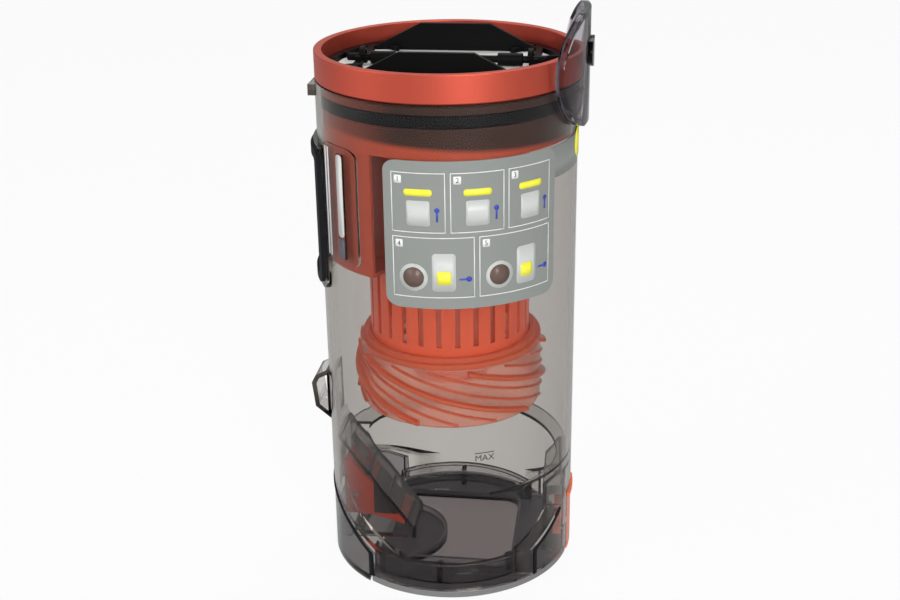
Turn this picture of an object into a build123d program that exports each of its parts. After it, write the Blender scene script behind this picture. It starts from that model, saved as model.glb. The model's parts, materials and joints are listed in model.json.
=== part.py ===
from build123d import *
import os
from math import cos, radians, sin, sqrt

# Cyclone dust bin of a stick vacuum cleaner, in millimetres.
# The origin is on the bin's axis at the floor, +Z up, -Y the front,
# +X the latch side and -X the inlet and hinge side.
# Azimuths are counted from the front (-Y) towards +X.

# Clear container
bin_radius = 58.0
bin_wall = 2.4
rim_height = 233.4
fit = 0.2
lid_gap = 0.3
pin_play = 0.05
inner_radius = bin_radius - bin_wall
wall_middle = bin_radius - bin_wall / 2
far = 2 * bin_radius + rim_height

# Lid
lid_play = 0.4
lid_radius = inner_radius - lid_play
lid_top = 2.6
lid_panel_depth = 1.0
lid_panel_width = 62.0
lid_panel_corner = 8.0
lid_lobe_x = -28.0
lid_lobe_y = -8.0
lid_lobe_radius = 26.0
lid_border = 1.6
lid_border_height = 3.4
collar_setback = 6.0
collar_radius = lid_radius - collar_setback
collar_wall = 1.6
collar_top = 11.7
collar_rib = 2.4
collar_rib_depth = 5.0
collar_gap_half_width = 32.0
lid_seal_height = 1.7
band_setback = 0.5
band_radius = bin_radius - band_setback
band_height = 3.3
wall_foot = band_height + lid_gap

# Hinge side
hinge_inset = 9.2
hinge_x = -inner_radius + hinge_inset
hinge_z = 4.2
hinge_pin_radius = 1.5
knuckle_radius = 3.2
knuckle_half_width = 9.5
arm_reach = 14.0
chord_x = hinge_x + arm_reach
chord_gap = 1.0
fixed_chord_x = chord_x - chord_gap
fixed_floor = 2.2
cover_half_width = sqrt(bin_radius ** 2 - chord_x ** 2)
cover_shoulder = 15.5
cover_rise = 21.0
cover_crown = cover_shoulder + cover_rise
cover_thickness = 1.1
recess_radius = bin_radius - cover_thickness - fit
pocket_wall = 1.8
pocket_half_width = 12.5
pocket_top = 58.0
pocket_top_inset = 2.6
pocket_top_x = -inner_radius + pocket_top_inset
pocket_foot_reach = 15.4
pocket_foot_x = chord_x + pocket_foot_reach
pocket_foot_z = 12.0
pocket_foot_run = 2.5
pocket_foot_drop = 3.0
pocket_clear = 0.8
pocket_lip_z = lid_top + pocket_clear
dock_slot_half_width = 7.0
dock_slot_bottom = 20.0
dock_slot_top = 27.0
dock_slot_margin = 2.0
arch_rib = 1.6
arch_rib_depth = 4.0

# Red catch in the hinge pocket
catch_half_width = 9.5
catch_pivot_inset = 9.6
catch_pivot_x = -inner_radius + catch_pivot_inset
catch_pivot_z = 26.0
catch_back_inset = 3.1
catch_back_x = -inner_radius + catch_back_inset
catch_bottom = 14.0
catch_head_run = 14.5
catch_head_depth = 5.0
catch_waist_run = 27.5
catch_tail_run = 47.0
catch_tail_depth = 4.0
catch_toe_gap = 6.0
catch_toe_top = 12.0
catch_toe_bottom = 9.5
catch_toe_length = 8.5
small_pin_radius = 1.0

# Latch side
latch_depth = 10.6
latch_inner_x = inner_radius - latch_depth
latch_half_width = 16.0
latch_top = 48.0
latch_roof_drop = 8.0
latch_roof_run = 7.0
latch_rib = 1.6
latch_rib_depth = 5.4
latch_rib_half_width = 38.0
latch_rib_shoulder = 17.0
latch_rib_half_top = 20.8
latch_rib_top = 29.4
button_half_width = 10.0
button_top = 32.0
button_bottom = 0.8
button_top_gap = 0.9
button_thickness = 2.2
button_lip = 1.0
button_lip_height = 2.0
button_pivot_inset = 4.4
button_pivot_x = bin_radius - button_pivot_inset
button_pivot_z = 16.0
button_knuckle_radius = 2.4
button_knuckle_half_width = 6.0
hook_reach = 1.0
hook_height = 1.4
hook_half_width = 8.0
button_body_depth = 5.8
button_body_half_width = 8.5
button_body_bottom = 8.6
button_body_top = 25.0

# Inlet port in the wall
port_center_y = -11.0
port_half_width = 20.5
port_drop = 26.4
port_height = 66.0
port_corner = 5.0
port_top = rim_height - port_drop
port_bottom = port_top - port_height
port_lip = 2.0
port_lip_height = 1.8
seal_width = 4.0
seal_height = 3.0
panel_end = -33.0
panel_drop = 22.4
panel_height = 53.0
panel_corner = 4.0
panel_proud = 0.5
post_azimuth = -43.0
post_width = 4.0
post_proud = 1.4
post_margin = 3.0

# Hook loop and rear lug
loop_bottom = 64.0
loop_height = 27.5
loop_top = loop_bottom + loop_height
loop_reach = 8.5
loop_bar = 2.2
loop_half_depth = 8.0
loop_shoulder = 4.0
loop_foot = 7.0
loop_slant = 1.4
lug_drop = 9.4
lug_height = 5.0
lug_reach = 3.3
lug_half_width = 7.0

# Dust ledge inside the wall
ledge_z = 52.0
ledge_thickness = 1.6
ledge_width = 14.0
ledge_point = 20.0

# Label
label_center = 19.5
label_half_angle = 39.5
label_drop = 22.9
label_height = 65.0
label_thickness = 0.25
label_corner = 5.0

# Cyclone housing and its scroll
housing_gap = 0.6
housing_radius = inner_radius - housing_gap
neck_setback = 1.0
housing_neck = housing_radius - neck_setback
housing_wall = 2.4
housing_bore = housing_neck - housing_wall
housing_depth = 23.4
housing_bottom = rim_height - housing_depth
housing_floor = 3.0
shoulder_drop = 1.4
housing_shoulder = rim_height - shoulder_drop
seal_band_drop = 10.1
seal_band_bottom = rim_height - seal_band_drop
seal_band_height = 5.3
seal_band_depth = 1.4
scroll_start = -98.0
scroll_end = -28.0
scroll_open = 20.0
scroll_height = 55.0
scroll_bottom = housing_bottom - scroll_height
scroll_wall = 1.6
scroll_end_wall = 2.0

# Top ring
ring_setback = 0.1
ring_radius = bin_radius - ring_setback
ring_play = 0.4
ring_bore = housing_neck + ring_play
ring_lift = 0.6
ring_bottom = rim_height + ring_lift
ring_height = 12.0
ring_top = ring_bottom + ring_height
ring_edge = 0.8
ring_groove = 1.0
neck_rise = 2.0
housing_top = ring_bottom + neck_rise

# Grille, skirt and cone
grille_radius = 37.0
grille_wall = 1.6
grille_length = 98.0
grille_bottom = housing_bottom - grille_length
slot_count = 28
slot_width = 2.4
slot_foot = 6.0
slot_head = 10.0
lip_radius = 40.0
lip_height = 2.0
skirt_radius = 42.5
skirt_wall = 1.4
skirt_deck = 2.5
skirt_top = grille_bottom - skirt_deck
skirt_height = 28.5
skirt_bottom = skirt_top - skirt_height
fin_radius = 45.2
ridge_radius = 43.6
fin_thickness = 1.3
fin_count = 5
ridges_between = 2
fin_half_turn = 57.0
fin_tilt = 16.0
cone_top_radius = 30.0
cone_bottom_radius = 17.0
cone_wall = 1.6
cone_lift = 11.0
cone_bottom = skirt_bottom + cone_lift

# Filter cassette
gasket_height = 1.0
rim_thickness = 2.0
frame_play = 1.0
frame_radius = ring_bore - frame_play
frame_rim = 3.8
frame_bore = frame_radius - frame_rim
cheek_inset = 22.4
cheek_y = frame_radius - cheek_inset
cheek_thickness = 2.4
cheek_rise = 3.3
cheek_top = ring_top + cheek_rise
cheek_slope = 24.0
cheek_bite = 1.3
cheek_half_foot = sqrt(frame_bore ** 2 - cheek_y ** 2) + cheek_bite
bar_lift = 4.0
bar_z = housing_top + bar_lift
bar_radius = 1.6
bar_reach = 4.0
bar_half_length = cheek_half_foot + bar_reach
sleeve_radius = 2.8
sleeve_setback = 16.0
sleeve_length = 11.0
clip_setback = 5.4
clip_width = 3.0
clip_wall = 2.0
clip_open = 1.0
fleece_play = 2.6
fleece_radius = housing_bore - fleece_play
fleece_thickness = 13.0

# Release lever
lever_gap = 3.2
lever_inner = bin_radius + lever_gap
lever_wall = 1.4
lever_outer = lever_inner + lever_wall
lever_flange_gap = 1.6
lever_flange = 2.2
lever_drop = 18.9
lever_bottom = rim_height - lever_drop
lever_rise = 29.6
lever_top = rim_height + lever_rise
lever_bottom_half = 13.0
lever_top_half = 16.0
lever_half_width = 33.0
lever_waist_rise = 4.6
lever_boss_rise = 11.1
lever_boss_half_width = 9.0
lever_boss_half_height = 6.5
lever_boss_reach = 1.7
lever_pivot_gap = 1.4
lever_pivot_x = bin_radius + lever_pivot_gap
lever_pivot_drop = 5.4
lever_pivot_z = rim_height - lever_pivot_drop
lever_pin_radius = 0.8
lever_ear_radius = 1.25
ear_inner = 3.0
ear_width = 2.5
ear_gap = 0.3
lever_pin_half_length = ear_inner + 2 * ear_width + ear_gap

# Leaf springs
spring_strip = 0.5
spring_half_width = 4.0
catch_spring_run = 6.0
catch_spring_bend = 14.0
catch_spring_tip = 20.0
catch_spring_bow = 1.6
button_spring_foot = 4.0
button_spring_bend = 12.0
lever_spring_foot = 2.5
lever_spring_reach = 6.5


def block(x0, x1, y0, y1, z0, z1):
    """Box between two corners."""
    middle = Pos((x0 + x1) / 2, (y0 + y1) / 2, (z0 + z1) / 2)
    return middle * Box(x1 - x0, y1 - y0, z1 - z0)


def disc(radius, z0, z1):
    """Solid cylinder on the bin's axis."""
    return Pos(0, 0, z0) * extrude(Circle(radius), z1 - z0)


def tube(outer, inner, z0, z1):
    """Hollow cylinder on the bin's axis."""
    return Pos(0, 0, z0) * extrude(Circle(outer) - Circle(inner), z1 - z0)


def plan_point(azimuth, radius):
    """Point in plan at an azimuth from the front."""
    angle = radians(azimuth)
    return (radius * sin(angle), -radius * cos(angle))


def sector(start, end, z0, z1):
    """Wedge of space between two azimuths, less than half a turn apart."""
    middle = (start + end) / 2
    outline = Polyline((0, 0), plan_point(start, far), plan_point(middle, far),
                       plan_point(end, far), close=True)
    return Pos(0, 0, z0) * extrude(make_face(outline), z1 - z0)


def side_prism(points, half_width):
    """Profile drawn in X and Z, extruded to both sides of the middle plane."""
    face = make_face(Polyline(*points, close=True))
    return extrude(Plane.XZ * face, half_width, both=True)


def cross_rod(x, z, radius, half_length):
    """Round rod along Y."""
    return Pos(x, 0, z) * Rot(90, 0, 0) * Cylinder(radius, 2 * half_length)


def side_view_prism(face, side):
    """Face drawn in Y and Z, extruded from the axis to the +X or the -X side."""
    prism = extrude(Plane.YZ * face, far, both=True)
    return prism & block(min(0, side * far), max(0, side * far), -far, far, -far, 2 * far)


def cover_outline(growth):
    """Outline of the hinge cover as seen from the side, with an arched top."""
    half = cover_half_width + growth
    shoulder = cover_shoulder + growth
    crown = cover_crown + growth
    arch = ThreePointArc((half, shoulder), (0, crown), (-half, shoulder))
    sides = Polyline((-half, shoulder), (-half, 0), (half, 0), (half, shoulder))
    return side_view_prism(make_face(Curve() + [arch, sides]), -1)


def port_prism(inset):
    """Rounded window through the wall on the inlet side."""
    window = RectangleRounded(2 * (port_half_width - inset), port_height - 2 * inset,
                              max(port_corner - inset / 2, 1))
    return side_view_prism(Pos(port_center_y, port_top - port_height / 2) * window, -1)


def port_panel():
    """Shallow raised panel beside the port, with an upright post on it."""
    near = plan_point(panel_end, bin_radius)[1]
    back = port_center_y - port_half_width + port_lip / 2
    top = rim_height - panel_drop
    bottom = top - panel_height
    outline = RectangleRounded(back - near, panel_height, panel_corner)
    sheet = Pos((near + back) / 2, (bottom + top) / 2) * outline
    panel = side_view_prism(sheet, -1) & tube(bin_radius + panel_proud, wall_middle, 0, rim_height)
    post = block(-post_width / 2, post_width / 2, -bin_radius - post_proud, -wall_middle,
                 bottom + post_margin, top - post_margin)
    return panel + Rot(0, 0, post_azimuth) * post


def pocket_profile(bottom):
    """Side view of the sloping pocket over the hinge."""
    return [(-far, pocket_top), (pocket_top_x, pocket_top),
            (pocket_foot_x - pocket_foot_run, pocket_foot_z),
            (pocket_foot_x, pocket_foot_z - pocket_foot_drop), (pocket_foot_x, bottom), (-far, bottom)]


def hinge_pocket():
    """Hollow sloping housing over the hinge and the catch, open below."""
    outside = side_prism(pocket_profile(pocket_lip_z), pocket_half_width)
    outside += block(-far, fixed_chord_x, -pocket_half_width, pocket_half_width, 0, pocket_foot_z)
    face = make_face(Polyline(*pocket_profile(-far), close=True))
    hollow_face = offset(face, -pocket_wall, kind=Kind.INTERSECTION)
    hollow = extrude(Plane.XZ * hollow_face, pocket_half_width - pocket_wall, both=True)
    bounds = disc(inner_radius + fit, 0, pocket_top + pocket_wall)
    return (outside & bounds) - hollow


def hinge_arch():
    """Rib on the inner wall along the arched top of the hinge cover."""
    rib = cover_outline(fit + arch_rib) - cover_outline(fit)
    top = cover_crown + fit + 2 * arch_rib
    rib &= tube(inner_radius + fit, inner_radius - arch_rib_depth, pocket_lip_z, top)
    return rib - block(-far, 0, -pocket_half_width, pocket_half_width, 0, far)


def latch_profile(inset, bottom):
    """Side view of the latch housing with its sloping roof."""
    face_x = latch_inner_x + inset
    return [(face_x, bottom), (face_x, latch_top - latch_roof_drop - inset / 2),
            (face_x + latch_roof_run - inset / 2, latch_top - inset), (far, latch_top - inset), (far, bottom)]


def latch_pocket():
    """Hollow housing behind the release button, with ribs that spread down the wall."""
    outside = side_prism(latch_profile(0, pocket_lip_z), latch_half_width)
    hollow = side_prism(latch_profile(pocket_wall, -far), latch_half_width - pocket_wall)
    bounds = disc(inner_radius + fit, 0, latch_top + pocket_wall)
    outline = Polyline((-latch_rib_half_width, -far), (-latch_rib_half_width, latch_rib_shoulder),
                       (-latch_rib_half_top, latch_rib_top), (latch_rib_half_top, latch_rib_top),
                       (latch_rib_half_width, latch_rib_shoulder), (latch_rib_half_width, -far), close=True)
    face = make_face(outline)
    ribs = side_view_prism(face - offset(face, -latch_rib, kind=Kind.INTERSECTION), 1)
    ribs &= tube(inner_radius + fit, inner_radius - latch_rib_depth, pocket_lip_z, latch_top)
    return (outside & bounds) + ribs - hollow


def dust_ledge():
    """Thin crescent on the inner wall that runs to a point at the front right."""
    outer = Circle(inner_radius + fit)
    shift = plan_point(ledge_point, ledge_width / 2)
    inner = Pos(*shift) * Circle(inner_radius - ledge_width / 2)
    plate = Pos(0, 0, ledge_z) * extrude(outer - inner, ledge_thickness)
    return plate - sector(-90, ledge_point, ledge_z - 1, ledge_z + ledge_thickness + 1)


def hook_loop():
    """Eye on the outer wall for the docking hook."""
    reach_x = -bin_radius - loop_reach
    outer = [(-wall_middle, loop_bottom), (-wall_middle, loop_top),
             (reach_x + loop_shoulder / 2, loop_top - loop_shoulder), (reach_x, loop_top - 2 * loop_shoulder),
             (reach_x + loop_slant, loop_bottom + loop_foot)]
    face = make_face(Polyline(*outer, close=True))
    opening = offset(face, -loop_bar, kind=Kind.INTERSECTION)
    bar = extrude(Plane.XZ * (face - opening), loop_half_depth, both=True)
    return bar - disc(wall_middle - bin_wall / 4, loop_bottom - 1, loop_top + 1)


def lever_ears():
    """Pair of small ears on the wall that hold the lever's pin."""
    ears = Part()
    for side in (-1, 1):
        middle = side * (ear_inner + ear_width / 2)
        eye = Pos(0, middle, 0) * cross_rod(lever_pivot_x, lever_pivot_z, lever_ear_radius, ear_width / 2)
        root = block(wall_middle, lever_pivot_x, middle - ear_width / 2, middle + ear_width / 2,
                     lever_pivot_z - lever_ear_radius, lever_pivot_z + lever_ear_radius)
        ears += eye + root
    return ears


def container():
    """Clear wall with its port, pockets, ledge, loop, lug and ears."""
    body = tube(bin_radius, inner_radius, wall_foot, rim_height)
    hinge_side = block(-far, fixed_chord_x, -far, far, 0, wall_foot + 1)
    body += tube(bin_radius, inner_radius, 0, wall_foot + 1) & hinge_side
    body += disc(inner_radius + fit, 0, fixed_floor) & hinge_side
    body += hinge_pocket()
    body += hinge_arch()
    body += latch_pocket()
    body += dust_ledge() - block(-far, pocket_foot_x, -pocket_half_width, pocket_half_width,
                                 0, pocket_top)
    body += hook_loop()
    lug_bottom = rim_height - lug_drop
    body += block(-bin_radius - lug_reach, -wall_middle, -lug_half_width, lug_half_width,
                  lug_bottom, lug_bottom + lug_height)
    body += lever_ears()
    body += port_panel()
    lip_outer = bin_radius + port_lip_height
    body += (port_prism(0) - port_prism(port_lip)) & tube(lip_outer, wall_middle, 0, rim_height)
    body -= port_prism(port_lip + fit + seal_width)

    # Recess for the hinge cover, and the pocket's own window behind it
    body -= cover_outline(fit) & tube(far, recess_radius, 0, cover_crown + 1)
    window = dock_slot_half_width + dock_slot_margin
    body -= block(-far, -inner_radius + 2 * bin_wall, -window, window,
                  hinge_z + knuckle_radius + 2, dock_slot_top + dock_slot_margin)
    knuckle_slot = knuckle_half_width + 2 * lid_gap
    body -= block(hinge_x - knuckle_radius - 2 * lid_gap, 0, -knuckle_slot, knuckle_slot,
                  -1, fixed_floor + lid_gap) & hinge_side
    button_slot = button_half_width + lid_gap
    body -= block(latch_inner_x + pocket_wall, far, -button_slot, button_slot,
                  0, button_top + button_top_gap)

    # Seats of the pins
    body -= cross_rod(hinge_x, hinge_z, hinge_pin_radius + pin_play, pocket_half_width)
    body -= cross_rod(catch_pivot_x, catch_pivot_z, small_pin_radius + pin_play, pocket_half_width)
    body -= cross_rod(button_pivot_x, button_pivot_z, small_pin_radius + pin_play, latch_half_width)
    ear_outer = ear_inner + ear_width
    body -= cross_rod(lever_pivot_x, lever_pivot_z, lever_pin_radius + pin_play, ear_outer)
    return body


def hinge_cover():
    """Thin curved panel over the hinge, with the slot for the docking tongue."""
    panel = cover_outline(0) & tube(bin_radius, bin_radius - cover_thickness, 0, cover_crown + 1)
    panel -= block(fixed_chord_x, far, -far, far, -1, wall_foot)
    return panel - block(-far, 0, -dock_slot_half_width, dock_slot_half_width,
                         dock_slot_bottom, dock_slot_top)


def inlet_seal():
    """Rubber frame that stands proud of the port's lip."""
    frame = port_prism(port_lip + fit) - port_prism(port_lip + fit + seal_width)
    return frame & tube(bin_radius + seal_height, bin_radius + fit / 2, 0, rim_height)


def instruction_label():
    """Thin sticker bent round the front of the wall."""
    width = 2 * bin_radius * sin(radians(label_half_angle))
    sheet = RectangleRounded(width, label_height, label_corner)
    upright = Plane.XZ * Pos(0, rim_height - label_drop - label_height / 2) * sheet
    prism = Rot(0, 0, label_center) * extrude(upright, far)
    seat = bin_radius + fit / 4
    return prism & tube(seat + label_thickness, seat, 0, rim_height)


def collar_ring():
    """Turned ring that grips the top edge of the wall."""
    ring = tube(ring_radius, ring_bore, ring_bottom, ring_top)
    ring = chamfer(ring.edges().group_by(Axis.Z)[-1].sort_by(SortBy.LENGTH)[-1], ring_edge)
    return ring + tube(bin_radius - ring_groove, ring_bore, rim_height, ring_bottom)


def cyclone_housing():
    """Red cup under the filter, with the scroll that leads the air in."""
    shell = tube(housing_radius, housing_bore, housing_bottom, housing_shoulder)
    shell += tube(housing_neck, housing_bore, housing_shoulder, housing_top)
    shell += tube(housing_radius, cone_top_radius, housing_bottom, housing_bottom + housing_floor)
    groove = seal_band_bottom - fit
    shell -= tube(far, housing_radius - seal_band_depth, groove, groove + seal_band_height + 2 * fit)

    # Scroll: a duct from the port that opens along the wall at its right end
    duct_inner = grille_radius + fit
    duct = tube(housing_radius, duct_inner, scroll_bottom, housing_bottom)
    duct &= sector(scroll_start, scroll_end, scroll_bottom, housing_bottom)
    hollow = tube(housing_radius - scroll_wall, duct_inner + scroll_wall,
                  scroll_bottom + scroll_wall, housing_bottom - scroll_wall)
    duct -= hollow & sector(scroll_start + scroll_end_wall, scroll_end + scroll_open,
                            scroll_bottom, housing_bottom)
    duct -= port_prism(port_lip + fit + seal_width) & tube(far, housing_radius - 2 * scroll_wall, 0, far)
    return shell + duct


def shroud_grille():
    """Slotted cylinder that the air leaves through."""
    wall = tube(grille_radius, grille_radius - grille_wall, grille_bottom, housing_bottom)
    slot = block(grille_radius - 2 * grille_wall, grille_radius + grille_wall,
                 -slot_width / 2, slot_width / 2, grille_bottom + slot_foot, housing_bottom - slot_head)
    for index in range(slot_count):
        wall -= Rot(0, 0, 360 / slot_count * index) * slot
    return wall


def slanting_fin(radius):
    """Fin that runs down across the skirt, cut from a tilted plate."""
    plate = Pos(0, 0, (skirt_bottom + skirt_top) / 2) * Rot(-fin_tilt, 0, 0) * Box(far, far, fin_thickness)
    fin = plate & tube(radius, skirt_radius - skirt_wall / 2, skirt_bottom, skirt_top)
    return fin & sector(90 - fin_half_turn, 90 + fin_half_turn, skirt_bottom, skirt_top)


def helix_skirt():
    """Open skirt under the grille with large fins and finer ridges slanting down it."""
    skirt = tube(skirt_radius, skirt_radius - skirt_wall, skirt_bottom, skirt_top)
    skirt += tube(skirt_radius, grille_radius - grille_wall, skirt_top, grille_bottom)
    skirt += tube(lip_radius, grille_radius + fit, grille_bottom, grille_bottom + lip_height)
    large = slanting_fin(fin_radius)
    fine = slanting_fin(ridge_radius)
    steps = ridges_between + 1
    for index in range(fin_count * steps):
        fin = fine if index % steps else large
        skirt += Rot(0, 0, 360 / (fin_count * steps) * index) * fin
    return skirt


def inner_cone():
    """Vortex cone inside the grille."""
    top = housing_bottom
    outer = Polyline((cone_top_radius + cone_wall, top), (cone_bottom_radius + cone_wall, cone_bottom),
                     (cone_bottom_radius, cone_bottom), (cone_top_radius, top), close=True)
    cone = revolve(Plane.XZ * make_face(outer), Axis.Z)
    return cone + tube(grille_radius - grille_wall - fit, cone_top_radius, top - cone_wall, top)


def cyclone_seal():
    """Rubber band in the housing's groove."""
    return tube(inner_radius - fit / 2, housing_radius - seal_band_depth + fit / 2,
                seal_band_bottom, seal_band_bottom + seal_band_height)


def rim_gasket():
    """Flat gasket on the housing's top edge."""
    return tube(housing_neck - fit, housing_bore, housing_top, housing_top + gasket_height)


def filter_frame():
    """Cassette rim with two arched cheeks and the bar's clips."""
    base = housing_top + gasket_height
    top = base + rim_thickness
    frame = tube(frame_radius, frame_bore, base, top)
    plateau = cheek_half_foot - cheek_slope
    profile = [(-cheek_half_foot, base), (-plateau, cheek_top), (plateau, cheek_top), (cheek_half_foot, base)]
    cheek = side_prism(profile, cheek_thickness / 2)
    cheek += block(-cheek_half_foot, cheek_half_foot, -cheek_thickness / 2, cheek_thickness / 2, base, top)
    clip_half = bar_radius + clip_wall
    for side in (-1, 1):
        frame += Pos(0, side * cheek_y, 0) * cheek
        middle = side * (bar_half_length - clip_setback)
        frame += block(middle - clip_width / 2, middle + clip_width / 2, -cheek_y, cheek_y, base, top)
        frame += block(middle - clip_width / 2, middle + clip_width / 2, -clip_half, clip_half,
                       base, bar_z + clip_open)
    bore = Pos(0, 0, bar_z) * Rot(0, 90, 0) * Cylinder(bar_radius + fit / 2, far)
    return (frame & disc(frame_radius, base, cheek_top + 1)) - bore


def cross_bar():
    """Bar across the cassette with two thicker sleeves."""
    bar = Pos(0, 0, bar_z) * Rot(0, 90, 0) * Cylinder(bar_radius, 2 * bar_half_length)
    for side in (-1, 1):
        middle = side * (bar_half_length - sleeve_setback)
        bar += Pos(middle, 0, bar_z) * Rot(0, 90, 0) * Cylinder(sleeve_radius, sleeve_length)
    return bar


def filter_fleece():
    """Round filter pad under the cassette."""
    top = housing_top + gasket_height
    return disc(fleece_radius, top - fleece_thickness, top)


def collar_window():
    """Space kept free of the lid's collar round the latch housing."""
    return block(0, far, -collar_gap_half_width, collar_gap_half_width, 0, far)


def collar_ends():
    """Short plates that close the collar's ends at the hinge and at the latch."""
    band = tube(collar_radius, collar_radius - collar_rib_depth, lid_top, collar_top)
    ends = band & block(chord_x, chord_x + collar_wall, -far, far, 0, far)
    for side in (-1, 1):
        inner = side * collar_gap_half_width
        outer = side * (collar_gap_half_width + collar_wall)
        ends += band & block(0, far, min(inner, outer), max(inner, outer), 0, far)
    return ends


def bottom_lid():
    """Floor with its collar, ribs, recessed panel and hinge knuckle."""
    open_side = block(chord_x, far, -far, far, -1, far)
    plate = disc(lid_radius, 0, lid_top) & open_side
    panel = RectangleRounded(lid_panel_width, lid_panel_width, lid_panel_corner)
    panel -= Pos(lid_lobe_x, lid_lobe_y) * Circle(lid_lobe_radius)
    plate -= Pos(0, 0, lid_top - lid_panel_depth) * extrude(panel, lid_panel_depth)
    border = offset(panel, lid_border) - panel
    plate += (Pos(0, 0, lid_top) * extrude(border, lid_border_height)) & open_side
    collar = tube(collar_radius, collar_radius - collar_wall, lid_top, collar_top)
    for side in (-1, 1):
        outer = side * (collar_radius - collar_wall / 2)
        inner = outer - side * collar_rib_depth
        collar += block(-collar_rib / 2, collar_rib / 2, min(outer, inner), max(outer, inner),
                        lid_top, collar_top)
    lid = plate + ((collar & open_side) - collar_window()) + collar_ends()
    notch = button_half_width + 2 * lid_gap
    lid -= block(bin_radius - button_thickness - hook_reach - 2 * lid_gap, far, -notch, notch, -1, far)
    arm = block(hinge_x, chord_x + knuckle_radius, -knuckle_half_width, knuckle_half_width,
                hinge_z - knuckle_radius, hinge_z)
    lid += arm + cross_rod(hinge_x, hinge_z, knuckle_radius, knuckle_half_width)
    return lid - cross_rod(hinge_x, hinge_z, hinge_pin_radius + pin_play, knuckle_half_width)


def lid_rim_band():
    """Pale band round the lid's edge."""
    band = tube(band_radius, lid_radius, 0, band_height)
    band &= block(chord_x, far, -far, far, -1, far)
    notch = button_half_width + 2 * lid_gap
    return band - block(0, far, -notch, notch, -1, far)


def lid_seal():
    """Rubber lip on top of the lid's collar."""
    lip = tube(collar_radius + fit, collar_radius - collar_wall, collar_top, collar_top + lid_seal_height)
    lip &= block(chord_x, far, -far, far, -1, far)
    return lip - collar_window()


def release_button():
    """Curved plate that rocks on its pin, with the hook for the lid."""
    back = bin_radius - button_thickness
    plate = tube(bin_radius, back, button_bottom, button_top)
    plate += tube(bin_radius + button_lip, back, button_top - button_lip_height, button_top)
    plate &= block(0, far, -button_half_width, button_half_width, 0, far)
    middle = bin_radius - button_thickness / 2
    hook = block(back - hook_reach, middle, -hook_half_width, hook_half_width,
                 button_bottom, button_bottom + hook_height)
    knuckle = cross_rod(button_pivot_x, button_pivot_z, button_knuckle_radius, button_knuckle_half_width)
    web = block(button_pivot_x, middle, -button_knuckle_half_width, button_knuckle_half_width,
                button_pivot_z - button_knuckle_radius, button_pivot_z + button_knuckle_radius)
    core = block(back - button_body_depth, middle, -button_body_half_width, button_body_half_width,
                 button_body_bottom, button_body_top)
    button = plate + hook + knuckle + web + core
    return button - cross_rod(button_pivot_x, button_pivot_z, small_pin_radius + pin_play, far)


def lever_outline(inset):
    """Leaf outline of the lever as seen from its own side."""
    bottom = lever_bottom + inset
    top = lever_top - inset
    waist_z = rim_height + lever_waist_rise
    right = ThreePointArc((lever_bottom_half - inset, bottom), (lever_half_width - inset, waist_z),
                          (lever_top_half - inset, top))
    left = ThreePointArc((inset - lever_top_half, top), (inset - lever_half_width, waist_z),
                         (inset - lever_bottom_half, bottom))
    edges = [right, Line(right @ 1, left @ 0), left, Line(left @ 1, right @ 0)]
    return side_view_prism(make_face(Curve() + edges), 1)


def release_lever():
    """Curved leaf-shaped shell with a border flange, thumb boss and pin eyes."""
    leaf = lever_outline(0)
    lever = leaf & tube(lever_outer, lever_inner, 0, far)
    lever += (leaf - lever_outline(lever_flange)) & tube(lever_outer, bin_radius + lever_flange_gap, 0, far)
    oval = Pos(0, rim_height + lever_boss_rise) * Ellipse(lever_boss_half_width, lever_boss_half_height)
    lever += side_view_prism(oval, 1) & tube(lever_outer + lever_boss_reach, lever_inner, 0, far)
    start = ear_inner + ear_width + ear_gap
    for side in (-1, 1):
        middle = side * (start + ear_width / 2)
        eye = Pos(0, middle, 0) * cross_rod(lever_pivot_x, lever_pivot_z, lever_ear_radius, ear_width / 2)
        root = block(lever_pivot_x, lever_inner + lever_wall / 3,
                     middle - ear_width / 2, middle + ear_width / 2,
                     lever_pivot_z - lever_ear_radius, lever_pivot_z + lever_ear_radius)
        lever += eye + root
    bore = start + ear_width + ear_gap
    return lever - cross_rod(lever_pivot_x, lever_pivot_z, lever_pin_radius + pin_play, bore)


def slope_point(run, depth):
    """Point a distance down the pocket's slope and a depth inside its outer face."""
    foot = Vector(pocket_foot_x - pocket_foot_run, pocket_foot_z)
    head = Vector(pocket_top_x, pocket_top)
    drop = (foot - head).normalized()
    point = head + drop * run + Vector(drop.Y, -drop.X) * depth
    return (point.X, point.Y)


def bin_catch():
    """Red catch behind the docking slot, with its tail along the slope."""
    head = slope_point(catch_head_run, catch_head_depth)
    toe_x = pocket_foot_x - catch_toe_gap
    knee_x = toe_x - 2 * catch_toe_length
    profile = [(catch_back_x, catch_bottom), (catch_back_x, head[1]), head,
               slope_point(catch_waist_run, catch_tail_depth), slope_point(catch_tail_run, catch_tail_depth),
               (toe_x, catch_toe_top), (toe_x, catch_toe_bottom),
               (toe_x - catch_toe_length, catch_toe_bottom + catch_toe_gap / 2), (knee_x, catch_bottom)]
    catch = side_prism(profile, catch_half_width)
    catch &= disc(recess_radius - 2, 0, pocket_top)
    return catch - cross_rod(catch_pivot_x, catch_pivot_z, small_pin_radius + pin_play, catch_half_width)


def catch_spring():
    """Bent leaf on the slope that presses on the catch."""
    seat = pocket_wall
    tip = seat + catch_spring_bow
    strip = [slope_point(catch_spring_run, seat), slope_point(catch_spring_bend, seat),
             slope_point(catch_spring_tip, tip), slope_point(catch_spring_tip, tip + spring_strip),
             slope_point(catch_spring_bend - spring_strip, seat + spring_strip),
             slope_point(catch_spring_run, seat + spring_strip)]
    return side_prism(strip, spring_half_width)


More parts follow.
